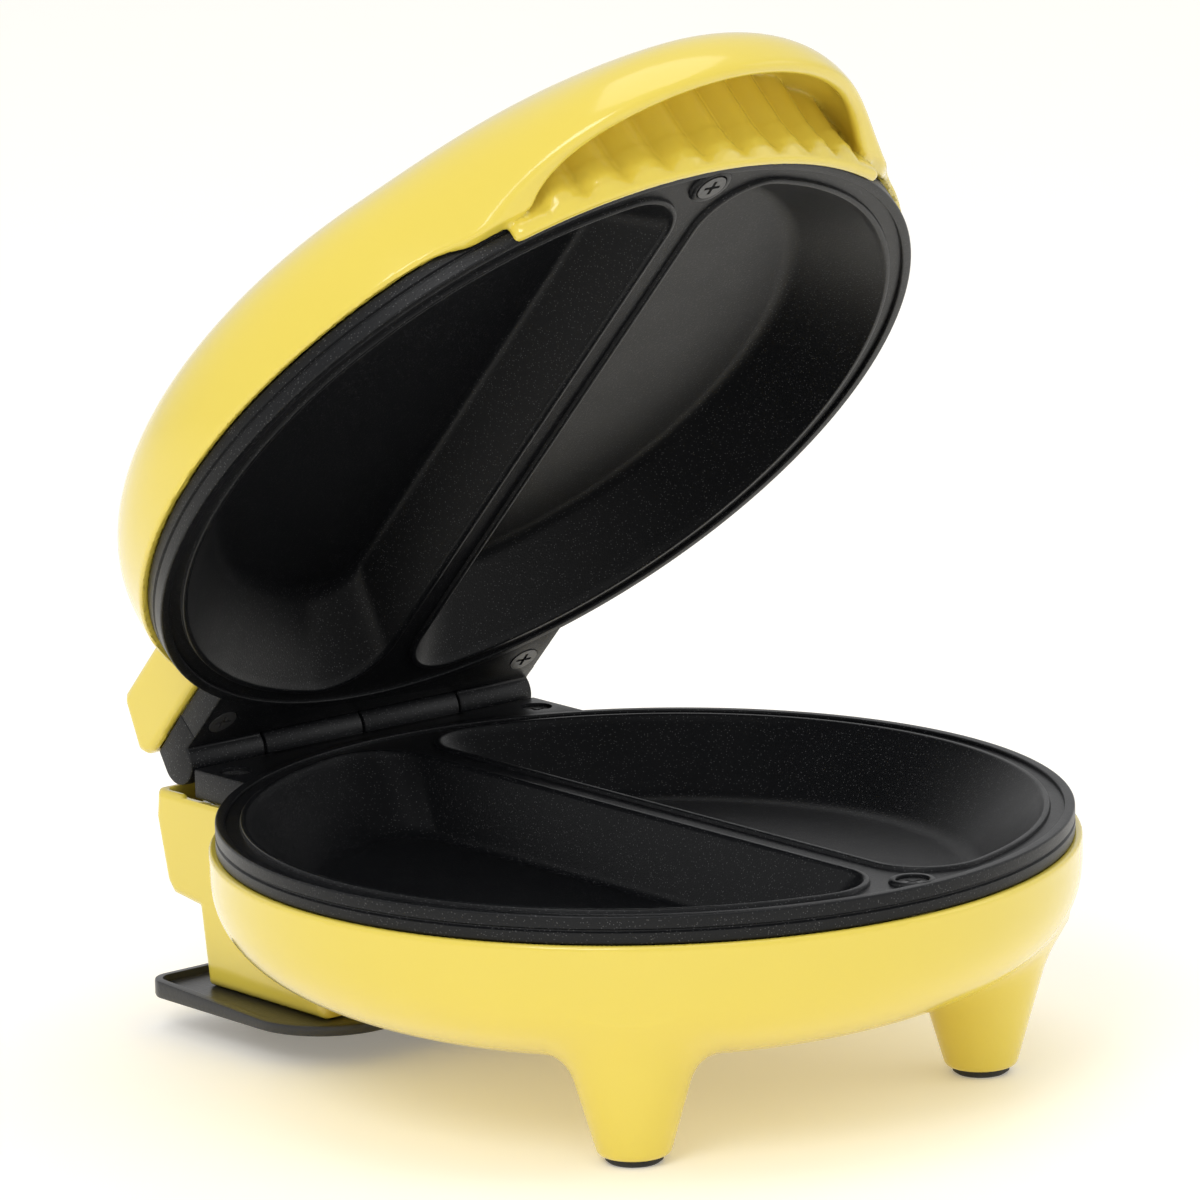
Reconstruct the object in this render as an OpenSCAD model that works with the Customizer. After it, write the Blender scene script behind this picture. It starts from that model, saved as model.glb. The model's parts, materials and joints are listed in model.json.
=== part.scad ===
// Two-well omelette maker with its lid held open.  A bowl-shaped base stands on two front legs
// and a rear cord store.  Two cast cooking plates are joined by a four-knuckle hinge, and the
// domed lid ends in a hooded, ribbed handle.
// Millimetres, Z up, table at z = 0.  The hinge runs along X and the handle faces -Y.

/* [Cooking plates] */
// Outer radius of both cooking plates
plate_r = 98; // [94:0.5:102]
// Height of the lower plate's rim above the table
rim_z = 61; // [60:0.5:66]
// Gap between the two rims when the lid is shut
rim_gap = 0.4; // [0.2:0.1:0.8]
// Height of the band round each plate
band_h = 6.4; // [5.6:0.2:7]
// Depth of a well below the rim
well_depth = 17; // [13:0.5:18]
// Radius of a well at its lip
well_r = 90.5; // [86:0.5:91]
// Radius of a well's flat floor
floor_r = 75; // [66:1:80]
// Half width of the bar between the wells, at the lips
bar_half = 5; // [4:0.5:7]
// Half width of the bar at the well floors
bar_floor_half = 10.5; // [9:0.5:14]
// Thickness of the cast plates
plate_t = 2; // [1.6:0.1:2.4]

/* [Housing] */
// Greatest radius of the base bowl and of the lid dome
shell_r = 99.6; // [99.2:0.2:104]
// Wall thickness of the moulded housings
wall = 2.4; // [2:0.1:2.8]
// Roundness of the bowl and dome, 2 is an ellipse and more is boxier
roundness = 2.7; // [2.3:0.1:3.2]
// Height of the bowl's underside above the table
bowl_floor_z = 16; // [14:0.5:20]
// Rise of the dome's crown above the shut rims
dome_rise = 46.5; // [42:0.5:52]
// Half width of the rear block and of the column under it
block_half = 52.8; // [52.6:0.2:56]

/* [Hinge] */
// Distance of the hinge axis behind the plate centre
hinge_y = 108.4; // [107:0.2:112]
// Height of the hinge axis above the lower rim
hinge_rise = 1; // [0.4:0.2:1.4]
// Radius of a hinge knuckle
knuckle_r = 5.4; // [5:0.1:5.6]
// Half length of the whole hinge
hinge_half = 51.4; // [48:0.2:52]
// Where an inner knuckle meets an outer one
knuckle_split = 29.3; // [24:0.5:34]
// Radius of the hinge pins
pin_r = 1.5; // [1.2:0.1:2]
// Running clearance of the lid knuckles on the pins
pin_clearance = 0.06; // [0.03:0.01:0.1]
// Lid angle above shut
lid_open = 47; // [0:1:92]

/* [Legs and cord store] */
// Sideways distance of a front leg from the middle
leg_x = 51.7; // [46:0.5:56]
// Distance of the front legs in front of the middle
leg_y = 55.8; // [50:0.5:60]
// Radius of the rubber feet
foot_r = 6.5; // [5.5:0.5:7]
// Height of the cord plate's top face
cord_plate_z = 10.4; // [9:0.2:12]
// Half width of the cord plate
cord_plate_half = 62; // [58:0.5:66]

/* [Handle] */
// Radius of the handle hood, seen from above
hood_r = 57; // [54:0.5:60]
// Distance of the hood's centre in front of the middle
hood_y = 66; // [62:0.5:68]
// Number of ribs in the finger scoop
rib_count = 10; // [6:1:14]
// Half angle of the handle's skirt over the plate band
skirt_half_angle = 32; // [28:1:36]

/* [Hidden] */
hinge_z = rim_z + hinge_rise;
lid_rim_z = rim_z + rim_gap;
tab_y = 94;
tab_screw_x = 45.3;
front_screw_y = 91.5;
tab_depth = 7;
tab_end_y = hinge_y - knuckle_r - 0.6;
bead_w = 1.8;
channel_depth = 0.9;
base_top_z = rim_z - band_h - 0.1;
dome_base_z = lid_rim_z + band_h + 0.1;
bowl_mid_z = 52;
dome_mid_z = 71;
crown_z = lid_rim_z + dome_rise;
reflector_r = 78;
element_ring_r = 55;
element_r = 3.3;
element_drop = well_depth + plate_t + element_r + 0.3;
reflector_drop = element_drop + element_r + 1.2;
ribbed_wall_r = shell_r - 0.4;
skirt_r = shell_r + 1.4;
hood_lip_z = rim_z + 9;
screw_head_r = 3.6;
screw_shank_r = 1.5;
lamp_x = 9;
lamp_y = -58;
column_rear_y = 98;
column_front_y = 54;
inlet_z = 21;
inlet_r = 4.2;
tray_front_y = 46;
tray_rear_y = 110;
tray_front_corner = 20;
tray_rear_corner = 6;
tray_screw_x = 30;
tray_screw_y = 76;
rear_foot_x = 34;
rear_foot_y = 96;
passage_y = 62;
passage_r = 6;
wire_x = 4;
wire_r = 1.1;
wire_high_z = 24.5;
wire_low_z = 16;
terminal_y = 18;
terminal_z = wire_high_z - 5;
recess_y = 80;
lid_block_back = 4.6;
lid_block_rise = 15.6;
open_rear_y = hinge_y + lid_block_back * cos(lid_open)
    + (dome_base_z + lid_block_rise - hinge_z) * sin(lid_open);
middle_y = (open_rear_y - shell_r) / 2;

$fn = 96;

yellow = [0.96, 0.85, 0.42];
cast_black = [0.13, 0.13, 0.14];
steel = [0.72, 0.72, 0.74];
rubber = [0.06, 0.06, 0.06];

// ---------- shared shapes ----------

// Radius of the bowl or dome at a height above or below its widest place.
function round_r(big_r, half_h, rise) = big_r * pow(1 - pow(rise / half_h, roundness), 1 / roundness);

// Half outline of a bowl or dome that starts at the widest place and ends on the axis.
function cap_points(big_r, half_h, steps = 12) =
    concat([for (i = [0 : steps - 1])
                let (rise = half_h * sin(90 * i / steps))
                [round_r(big_r, half_h, rise), rise]],
           [[0, half_h]]);

// Solid bowl or dome; direction is 1 for a dome and -1 for a bowl.
module cap(big_r, half_h, edge, direction) {
    rotate_extrude()
        polygon([for (p = concat([[0, -edge], [big_r, -edge]], cap_points(big_r, half_h)))
                 [p[0], direction * p[1]]]);
}

// Rounded rectangle from squares and corner circles.
module rounded_plate(half_w, y_front, y_rear, corner, front_corner) {
    translate([-half_w + front_corner, y_front])
        square([2 * (half_w - front_corner), y_rear - y_front - corner]);
    translate([-half_w, y_front + front_corner])
        square([2 * half_w, y_rear - y_front - front_corner - corner]);
    translate([-half_w + corner, y_rear - corner - 1]) square([2 * (half_w - corner), corner + 1]);
    for (x = [-1, 1]) {
        translate([x * (half_w - corner), y_rear - corner]) circle(r = corner);
        translate([x * (half_w - front_corner), y_front + front_corner]) circle(r = front_corner);
    }
}

// Puts the origin on the table below the middle of the whole open object.
module centred() {
    translate([0, -middle_y, 0]) children();
}

// Everything on the lid is drawn shut and then swung open about the hinge.
module in_lid() {
    translate([0, hinge_y, hinge_z]) rotate([-lid_open, 0, 0])
        translate([0, -hinge_y, -hinge_z]) children();
}

// A side outline in Y and Z, drawn out along X.
module side_extrude(half_w) {
    rotate([90, 0, 90]) translate([0, 0, -half_w]) linear_extrude(2 * half_w) children();
}

// A bar along X between two places.
module x_bar(radius, x_from, x_to) {
    translate([x_from, hinge_y, hinge_z]) rotate([0, 90, 0]) cylinder(r = radius, h = x_to - x_from);
}

// Countersunk screw with a cross slot, pointing down from its head.
module screw(length) {
    difference() {
        union() {
            translate([0, 0, -1.4]) cylinder(r = screw_head_r, h = 1.4);
            translate([0, 0, -length]) cylinder(r = screw_shank_r, h = length - 1);
        }
        for (turn = [0, 90])
            rotate(turn) translate([-2.2, -0.45, -0.8]) cube([4.4, 0.9, 1]);
    }
}

// ---------- cooking plates, drawn with the rim face at z = 0 and the wells below ----------

module well_outline(outer_r, half_bar, corner, side) {
    offset(r = corner, $fn = 32) offset(delta = -corner)
        intersection() {
            circle(r = outer_r);
            translate([side * (half_bar + outer_r), 0])
                square([2 * outer_r, 2 * outer_r], center = true);
        }
}

// One well's space from its floor up to a top height, grown outwards by a skin thickness.
module well_space(side, grow, top_z) {
    hull() {
        translate([0, 0, -channel_depth - 0.6])
            linear_extrude(top_z + channel_depth + 0.6)
                well_outline(well_r + grow, bar_half - grow, 13, side);
        translate([0, 0, -well_depth - grow])
            linear_extrude(0.1) well_outline(floor_r + grow, bar_floor_half - grow, 10, side);
    }
}

module screw_places() {
    for (x = [-1, 1]) translate([x * tab_screw_x, tab_y, 0]) children();
    translate([0, -front_screw_y, 0]) children();
}

module dish() {
    difference() {
        union() {
            // band and rim with a fine groove half way down
            rotate_extrude()
                polygon([[95.6 / 98 * plate_r, 0], [plate_r - 0.5, 0], [plate_r, -0.5],
                         [plate_r, -2.9], [plate_r - 0.5, -3.1], [plate_r - 0.5, -3.5],
                         [plate_r, -3.7], [plate_r, -band_h], [95.6 / 98 * plate_r, -band_h]]);
            translate([0, 0, -channel_depth - plate_t]) cylinder(r = plate_r - 1, h = plate_t);
            for (side = [-1, 1]) {
                well_space(side, plate_t, -channel_depth - 0.3);
                translate([0, 0, -channel_depth - 1]) linear_extrude(channel_depth + 1)
                    well_outline(well_r + bead_w, bar_half - bead_w, 14, side);
            }
            // rear tab and the pad under the front screw
            difference() {
                translate([-hinge_half, recess_y, -tab_depth])
                    cube([2 * hinge_half, tab_end_y - recess_y, tab_depth]);
                translate([0, 0, -tab_depth - 1]) cylinder(r = plate_r - 2, h = tab_depth + 2);
            }
            translate([0, -front_screw_y, -5]) cylinder(r = 4.6, h = 5);
        }
        for (side = [-1, 1]) well_space(side, 0, 1);
        screw_places() {
            translate([0, 0, -1.7]) cylinder(r = screw_head_r + 0.2, h = 3);
            translate([0, 0, -tab_depth - 1]) cylinder(r = screw_shank_r + 0.2, h = tab_depth + 2);
        }
    }
}

module thermostat_boss() {
    translate([0, 0, rim_z - 10]) cylinder(r = 4, h = 8);
}

module lower_plate() {
    color(cast_black) centred() difference() {
        union() {
            translate([0, 0, rim_z]) dish();
            thermostat_boss();
            for (side = [-1, 1]) {
                x_from = side < 0 ? 0.3 - knuckle_split : 0.3;
                x_bar(knuckle_r, x_from, x_from + knuckle_split - 0.6);
                translate([x_from, tab_end_y - 2, rim_z - 5])
                    cube([knuckle_split - 0.6, 6, 5]);
            }
        }
        x_bar(pin_r, -hinge_half - 1, hinge_half + 1);
    }
}

module lid_arm() {
    side_extrude((hinge_half - knuckle_split - 0.3) / 2)
        polygon([[tab_end_y - 4, lid_rim_z], [tab_end_y - 4, lid_rim_z + tab_depth],
                 [hinge_y + 3.8, lid_rim_z + tab_depth - 0.5], [hinge_y + 4.8, hinge_z + 1.5],
                 [hinge_y, hinge_z], [hinge_y - 3.5, hinge_z - 1]]);
}

module upper_plate() {
    color(cast_black) centred() in_lid() difference() {
        union() {
            translate([0, 0, lid_rim_z]) rotate([0, 180, 0]) dish();
            for (side = [-1, 1]) {
                arm_mid = side * (hinge_half + knuckle_split + 0.3) / 2;
                x_bar(knuckle_r, side < 0 ? -hinge_half : knuckle_split + 0.3,
                      side < 0 ? -knuckle_split - 0.3 : hinge_half);
                translate([arm_mid, 0, 0]) lid_arm();
            }
        }
        x_bar(pin_r + pin_clearance, -hinge_half - 1, hinge_half + 1);
    }
}

module left_hinge_pin() {
    color(steel) centred() x_bar(pin_r, -hinge_half + 1, -4);
}

module right_hinge_pin() {
    color(steel) centred() x_bar(pin_r, 4, hinge_half - 1);
}

// ---------- base housing ----------

// Side outline of the rear block and of the column below it, shrunk by an inset.
module block_outline(inset) {
    offset(delta = -inset)
        polygon([[column_front_y, bowl_floor_z + 14], [80, base_top_z + inset * 2],
                 [hinge_y + 6, base_top_z + inset * 2], [hinge_y + 7.4, base_top_z - 1.4],
                 [hinge_y + 8, base_top_z - 7], [hinge_y + 4.4, 33.5], [hinge_y + 2, 30.6],
                 [column_rear_y + 2.6, 28.9], [column_rear_y, cord_plate_z],
                 [column_front_y, cord_plate_z]]);
}

module leg(side) {
    translate([side * leg_x, -leg_y, 0]) rotate_extrude()
        polygon([[0, 1.6], [6.4, 1.6], [7.6, 2.4], [8.4, 4.2], [10.2, 9.5], [12.6, 18],
                 [14.2, 22], [15.2, 25], [15, 30], [13, 34], [0, 34]]);
}

module bowl_solid(inset) {
    translate([0, 0, bowl_mid_z])
        cap(shell_r - inset, bowl_mid_z - bowl_floor_z - inset, base_top_z - bowl_mid_z + inset, -1);
}

module tray_screw_places() {
    for (x = [-1, 1]) translate([x * tray_screw_x, tray_screw_y, 0]) children();
}

module base_shell() {
    color(yellow) centred() union() {
        difference() {
            union() {
                bowl_solid(0);
                side_extrude(block_half) block_outline(0);
                for (side = [-1, 1]) leg(side);
            }
            bowl_solid(wall);
            difference() {
                side_extrude(block_half - wall) block_outline(wall);
                bowl_solid(0);
            }
            // room for the plate tab, foot sockets, cord inlet and wire passage
            translate([-hinge_half - 0.4, recess_y, rim_z - tab_depth - 0.4])
                cube([2 * hinge_half + 0.8, 26, 20]);
            for (side = [-1, 1])
                translate([side * leg_x, -leg_y, 0]) cylinder(r = foot_r - 0.9, h = 4);
            translate([0, column_rear_y - 8, inlet_z]) rotate([-90, 0, 0])
                cylinder(r = inlet_r, h = 20);
            translate([0, passage_y, wire_low_z - 2]) cylinder(r = passage_r, h = 16);
            tray_screw_places() cylinder(r = screw_shank_r, h = 19);
        }
        // bosses under the plate screws and above the cord plate screws
        difference() {
            union() {
                for (x = [-1, 1]) translate([x * tab_screw_x, tab_y + 5, 29.5])
                    cylinder(r = 5, h = rim_z - tab_depth - 0.6 - 29.5);
                intersection() {
                    translate([0, -front_screw_y, 30]) cylinder(r = 5, h = rim_z - 5.4 - 30);
                    bowl_solid(0.5);
                }
                tray_screw_places() translate([0, 0, cord_plate_z]) cylinder(r = 4, h = 13);
            }
            for (x = [-1, 1]) translate([x * tab_screw_x, tab_y, 40])
                cylinder(r = screw_shank_r, h = 20);
            translate([0, -front_screw_y, 40]) cylinder(r = screw_shank_r, h = 20);
            tray_screw_places() cylinder(r = screw_shank_r, h = 19);
        }
    }
}

module front_foot(side) {
    color(rubber) centred() translate([side * leg_x, -leg_y, 0]) {
        rotate_extrude() polygon([[0, 0], [foot_r - 0.8, 0], [foot_r, 0.6], [foot_r, 1.5], [0, 1.5]]);
        cylinder(r = foot_r - 1, h = 3.8);
    }
}

module left_front_foot() { front_foot(-1); }
module right_front_foot() { front_foot(1); }

module rear_foot_places() {
    for (x = [-1, 1]) translate([x * rear_foot_x, rear_foot_y, 0]) children();
}

module cord_plate() {
    color(rubber) centred() difference() {
        union() {
            translate([0, 0, cord_plate_z - 2.8]) linear_extrude(2.7)
                rounded_plate(cord_plate_half, tray_front_y, tray_rear_y, tray_rear_corner,
                              tray_front_corner);
            // raised lip round the rear, which drops half way along each side
            translate([0, 0, cord_plate_z - 0.2]) linear_extrude(2.4) difference() {
                rounded_plate(cord_plate_half, tray_rear_y - 26, tray_rear_y, tray_rear_corner, 1);
                translate([-cord_plate_half + 1.8, tray_rear_y - 40])
                    square([2 * cord_plate_half - 3.6, 38.2]);
            }
        }
        tray_screw_places() {
            cylinder(r = screw_shank_r + 0.3, h = 20);
            cylinder(r = screw_head_r + 0.3, h = 9.2);
        }
        rear_foot_places() translate([0, 0, 5]) cylinder(r = 3, h = 4);
    }
}

module rear_feet() {
    color(rubber) centred() rear_foot_places() {
        cylinder(r = foot_r, h = cord_plate_z - 2.9);
        cylinder(r = 2.9, h = 8.8);
    }
}

module cord_plate_screws() {
    color(steel) centred() tray_screw_places()
        translate([0, 0, cord_plate_z - 2.7]) mirror([0, 0, 1]) screw(10);
}

module cord_bush() {
    color(rubber) centred() translate([0, column_rear_y, inlet_z]) rotate([-90, 0, 0]) difference() {
        union() {
            translate([0, 0, -5]) cylinder(r = inlet_r - 0.1, h = 10);
            translate([0, 0, 2.7]) cylinder(r = 6, h = 2.3);
        }
        translate([0, 0, -6]) cylinder(r = 2.8, h = 20);
    }
}

// ---------- parts inside the base ----------

module element_at(z) {
    translate([0, 0, z]) {
        rotate([0, 0, 120]) rotate_extrude(angle = 300)
            translate([element_ring_r, 0]) circle(r = element_r, $fn = 32);
        for (turn = [120, 60]) rotate(turn) translate([element_ring_r, 0, 0])
            rotate([turn > 90 ? 90 : -90, 0, 0]) cylinder(r = 1.5, h = 8, $fn = 32);
    }
}

module reflector_shape() {
    difference() {
        rotate_extrude()
            polygon([[0, 0], [reflector_r - 2, 0], [reflector_r, 5], [reflector_r - 0.9, 5],
                     [reflector_r - 2.8, 0.8], [0, 0.8]]);
        translate([0, 62, -1]) cylinder(r = 7, h = 4);
        translate([0, 0, -1]) cylinder(r = 11, h = 4);
    }
}

module lower_element() {
    color(steel) centred() element_at(rim_z - element_drop);
}

module lower_reflector() {
    color(steel) centred() translate([0, 0, rim_z - reflector_drop - 0.8]) reflector_shape();
}

module thermostat() {
    color([0.55, 0.5, 0.42]) centred() translate([0, 0, rim_z - 10.2]) {
        mirror([0, 0, 1]) cylinder(r = 5.2, h = 5.5);
        translate([0, 0, -11]) cylinder(r = 6.4, h = 6);
        for (y = [-4, 4]) translate([-0.4, y - 1.5, -18]) cube([0.8, 3, 8]);
    }
}

module thermal_fuse() {
    color([0.8, 0.72, 0.5]) centred() translate([0, 18, rim_z - 13]) rotate([-90, 0, 0]) {
        cylinder(r = 2, h = 12);
        translate([0, 0, -5]) cylinder(r = 0.5, h = 22, $fn = 24);
    }
}

module terminal_block() {
    color([0.9, 0.88, 0.84]) centred() translate([0, terminal_y, terminal_z]) difference() {
        translate([-9, 0, 0]) cube([18, 14, 9]);
        for (x = [-1, 1]) translate([x * wire_x, -1, 5]) rotate([-90, 0, 0])
            cylinder(r = wire_r + 0.3, h = 16, $fn = 24);
    }
}

// Two leads from the terminals, down through the bowl and back towards the cord inlet.
module supply_wires() {
    color([0.75, 0.2, 0.15]) centred() for (x = [-1, 1]) translate([x * wire_x, 0, 0]) {
        translate([0, terminal_y + 10, wire_high_z]) rotate([-90, 0, 0])
            cylinder(r = wire_r, h = passage_y - terminal_y - 10, $fn = 24);
        translate([0, passage_y, wire_low_z])
            cylinder(r = wire_r, h = wire_high_z - wire_low_z, $fn = 24);
        for (z = [wire_low_z, wire_high_z]) translate([0, passage_y, z]) sphere(r = wire_r, $fn = 24);
        translate([0, passage_y, wire_low_z]) rotate([-90, 0, 0])
            cylinder(r = wire_r, h = column_rear_y - 8 - passage_y, $fn = 24);
    }
}

module lower_rear_screws() {
    color(steel) centred() for (x = [-1, 1]) translate([x * tab_screw_x, tab_y, rim_z - 0.3]) screw(16);
}

module lower_front_screw() {
    color(steel) centred() translate([0, -front_screw_y, rim_z - 0.3]) screw(14);
}

// ---------- lid ----------

// Side outline of the lid's rear block, shrunk by an inset and left open below.
module lid_block_outline(inset) {
    offset(delta = -inset)
        polygon([[78, dome_base_z + 0.6 - inset * 2], [hinge_y + 4.6, dome_base_z + 0.6 - inset * 2],
                 [hinge_y + 7.4, dome_base_z + 1.8], [hinge_y + 9, dome_base_z + 4.2],
                 [hinge_y + lid_block_back, dome_base_z + lid_block_rise], [hinge_y + 2.6, dome_base_z + 16.6],
                 [78, dome_base_z + 17]]);
}

module dome_solid(inset) {
    translate([0, 0, dome_mid_z])
        cap(shell_r - inset, crown_z - dome_mid_z - inset, dome_mid_z - dome_base_z + inset, 1);
}

// Hood over the fingers, turned about its own centre; inset leaves the scoop under it.
module hood_solid(inset, bottom_z) {
    translate([0, -hood_y, 0]) rotate_extrude()
        polygon([[0, bottom_z], [hood_r - inset, bottom_z], [hood_r - inset + 0.3, 72],
                 [hood_r - 0.6 - inset, 78 - inset], [hood_r - 3.5 - inset, 82.5 - inset],
                 [hood_r - 12 - inset, 88 - inset], [hood_r - 28 - inset, 93.5 - inset],
                 [0, 97 - inset]]);
}

module front_sector(radius, z_from, z_to) {
    translate([0, 0, z_from]) rotate([0, 0, -90 - skirt_half_angle])
        rotate_extrude(angle = 2 * skirt_half_angle) square([radius, z_to - z_from]);
}

module lid_shell() {
    color(yellow) centred() in_lid() difference() {
        union() {
            dome_solid(0);
            side_extrude(block_half) lid_block_outline(0);
            difference() {
                hood_solid(0, hood_lip_z);
                difference() {
                    hood_solid(4.6, hood_lip_z - 1);
                    translate([0, 0, 60]) cylinder(r = ribbed_wall_r, h = 40);
                }
            }
            // skirt over the plate band, wall behind the fingers and its ribs
            front_sector(skirt_r, lid_rim_z + 0.3, dome_base_z + 1.2);
            intersection() {
                union() {
                    front_sector(ribbed_wall_r, dome_base_z - 1, 88);
                    for (i = [0 : rib_count - 1])
                        rotate([0, 0, 54 * (i / (rib_count - 1) - 0.5)])
                            translate([0, -ribbed_wall_r, dome_base_z]) cylinder(r = 1.7, h = 18);
                }
                hood_solid(1, dome_base_z - 2);
            }
        }
        dome_solid(wall);
        difference() {
            side_extrude(block_half - wall) lid_block_outline(wall);
            dome_solid(0);
        }
        translate([0, 0, lid_rim_z - 1]) cylinder(r = plate_r + 0.4, h = dome_base_z - lid_rim_z + 1);
        translate([-hinge_half - 0.4, recess_y, lid_rim_z - 5])
            cube([2 * hinge_half + 0.8, 26, tab_depth + 5.4]);
        for (x = [-1, 1]) translate([x * lamp_x, lamp_y, 90]) cylinder(r = 4.1, h = 30);
    }
    color(yellow) centred() in_lid() difference() {
        union() {
            for (x = [-1, 1]) translate([x * tab_screw_x, tab_y + 4, lid_rim_z + tab_depth + 0.6])
                cylinder(r = 5, h = 15 - tab_depth + 7);
            intersection() {
                translate([0, -front_screw_y, lid_rim_z + 5.4]) cylinder(r = 5, h = 22);
                dome_solid(0.5);
            }
        }
        for (x = [-1, 1]) translate([x * tab_screw_x, tab_y, lid_rim_z])
            cylinder(r = screw_shank_r, h = 18);
        translate([0, -front_screw_y, lid_rim_z]) cylinder(r = screw_shank_r, h = 18);
    }
}

module upper_element() {
    color(steel) centred() in_lid() element_at(lid_rim_z + element_drop);
}

module upper_reflector() {
    color(steel) centred() in_lid() translate([0, 0, lid_rim_z + reflector_drop + 0.8])
        mirror([0, 0, 1]) reflector_shape();
}

module upper_rear_screws() {
    color(steel) centred() in_lid() for (x = [-1, 1])
        translate([x * tab_screw_x, tab_y, lid_rim_z + 0.3]) mirror([0, 0, 1]) screw(16);
}

module upper_front_screw() {
    color(steel) centred() in_lid()
        translate([0, -front_screw_y, lid_rim_z + 0.3]) mirror([0, 0, 1]) screw(14);
}

// Height of the dome's outer face under the lamps.
lamp_top_z = dome_mid_z + (crown_z - dome_mid_z)
    * pow(1 - pow(norm([lamp_x, lamp_y]) / shell_r, roundness), 1 / roundness);

module lens(side) {
    in_lid() translate([side * lamp_x, lamp_y, 0]) {
        translate([0, 0, lamp_top_z - 5]) cylinder(r = 4, h = 6.4);
        translate([0, 0, lamp_top_z - 6.5]) cylinder(r = 5.2, h = 1.6);
    }
}

module power_lens() { color([0.8, 0.1, 0.08]) centred() lens(-1); }
module ready_lens() { color([0.1, 0.6, 0.2]) centred() lens(1); }

module lamp(side) {
    in_lid() translate([side * lamp_x, lamp_y, lamp_top_z - 11.6]) cylinder(r = 2.4, h = 4.8);
}

module power_lamp() { color([0.95, 0.7, 0.5]) centred() lamp(-1); }
module ready_lamp() { color([0.8, 0.9, 0.7]) centred() lamp(1); }

module lamp_board() {
    color([0.45, 0.33, 0.16]) centred() in_lid()
        translate([-17, lamp_y - 9, lamp_top_z - 13.4]) cube([34, 18, 1.6]);
}

base_shell();
lower_plate();
lower_element();
lower_reflector();
thermostat();
thermal_fuse();
terminal_block();
supply_wires();
cord_bush();
left_hinge_pin();
right_hinge_pin();
lower_rear_screws();
lower_front_screw();
left_front_foot();
right_front_foot();
rear_feet();
cord_plate();
cord_plate_screws();
lid_shell();
upper_plate();
upper_element();
upper_reflector();
upper_rear_screws();
upper_front_screw();
power_lens();
ready_lens();
lamp_board();
power_lamp();
ready_lamp();
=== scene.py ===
"""Looks of the open two-well omelette maker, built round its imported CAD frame.

Shapes are worked out in millimetres about the middle of the cooking plates, with the lid shut.
to_frame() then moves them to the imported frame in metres, and swings lid pieces open.
"""

import json
import math

import bmesh
import bpy
import numpy as np
from mathutils import Matrix, Vector


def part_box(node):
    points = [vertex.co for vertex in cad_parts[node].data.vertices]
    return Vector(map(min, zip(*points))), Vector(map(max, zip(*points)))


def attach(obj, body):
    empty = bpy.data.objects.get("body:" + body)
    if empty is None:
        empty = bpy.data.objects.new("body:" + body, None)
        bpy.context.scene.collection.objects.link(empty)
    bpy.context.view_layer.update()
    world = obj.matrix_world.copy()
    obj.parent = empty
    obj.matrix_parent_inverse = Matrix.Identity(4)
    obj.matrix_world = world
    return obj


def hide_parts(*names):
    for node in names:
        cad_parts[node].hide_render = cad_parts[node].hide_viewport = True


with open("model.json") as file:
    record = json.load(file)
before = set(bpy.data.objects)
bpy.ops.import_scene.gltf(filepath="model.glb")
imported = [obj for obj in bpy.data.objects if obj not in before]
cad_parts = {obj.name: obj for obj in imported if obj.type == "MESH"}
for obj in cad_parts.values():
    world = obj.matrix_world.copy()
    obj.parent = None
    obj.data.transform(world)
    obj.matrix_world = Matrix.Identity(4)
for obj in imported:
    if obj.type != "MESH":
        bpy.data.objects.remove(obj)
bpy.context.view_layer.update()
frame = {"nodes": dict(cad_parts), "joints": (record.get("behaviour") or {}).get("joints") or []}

MM = 0.001

# Front legs: cones that widen upwards by LEG_TAPER, whose slope has the cosine LEG_SLANT
LEG = (51.7, -55.8)
FOOT_R = 6.5
FOOT_H = 1.6
FOOT_HOLE_R = 5.6
LEG_FOOT_R = 8.15
LEG_TAPER = 0.285
LEG_SLANT = 0.962
LEG_ROUND = 1.6
LEG_TOP_Z = 34
LEG_BLEND = 6

# Frame places that everything else is measured from
HINGE = np.array(frame["joints"][0]["pos_m"]) / MM
OPEN_ANGLE = math.radians(-frame["joints"][0]["range_deg"][0])
SHELL_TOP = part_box("base_shell")[1].z / MM
MIDDLE_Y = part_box("left_front_foot")[0].y / MM + FOOT_R - LEG[1]
HINGE_Y = HINGE[1] - MIDDLE_Y
HINGE_Z = HINGE[2]

# Cooking plates: heights from CHANNEL_Z to GROOVE_Z are measured from a plate's rim face
BAND_H = 6.4
SEAT_GAP = 0.1
CLEAR = 0.4
RIM_Z = SHELL_TOP + BAND_H + SEAT_GAP
LID_RIM_Z = RIM_Z + CLEAR
PLATE_R = 98.0
RING_INNER_R = 95.6
WELL_R = 90.5
FLOOR_R = 75.0
BAR_HALF = 5.0
BAR_FLOOR_HALF = 10.5
WELL_DEPTH = 17.0
WELL_CORNER = 13
CHANNEL_Z = -0.9
UNDER_Z = -2.9
LIP_OUT = 3.0
GROOVE_Z = (-2.8, -3.8)
GROOVE_DEPTH = 0.55
TAB_DEPTH = 7.0
TAB_END_Y = HINGE_Y - 6.0
TAB_SCREW = (45.3, 94.0)
FRONT_SCREW_Y = 91.5
SCREW_HEAD_R = 3.8
SCREW_SINK = 1.7
PAD_R = 5.4
STUD_R = 4
STUD_Z = (RIM_Z - 21, RIM_Z - 18)

# Hinge
KNUCKLE_R = 5.4
HINGE_HALF = 51.4
KNUCKLE_SPLIT = 29.3
KNUCKLE_GAP = 0.3

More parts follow.
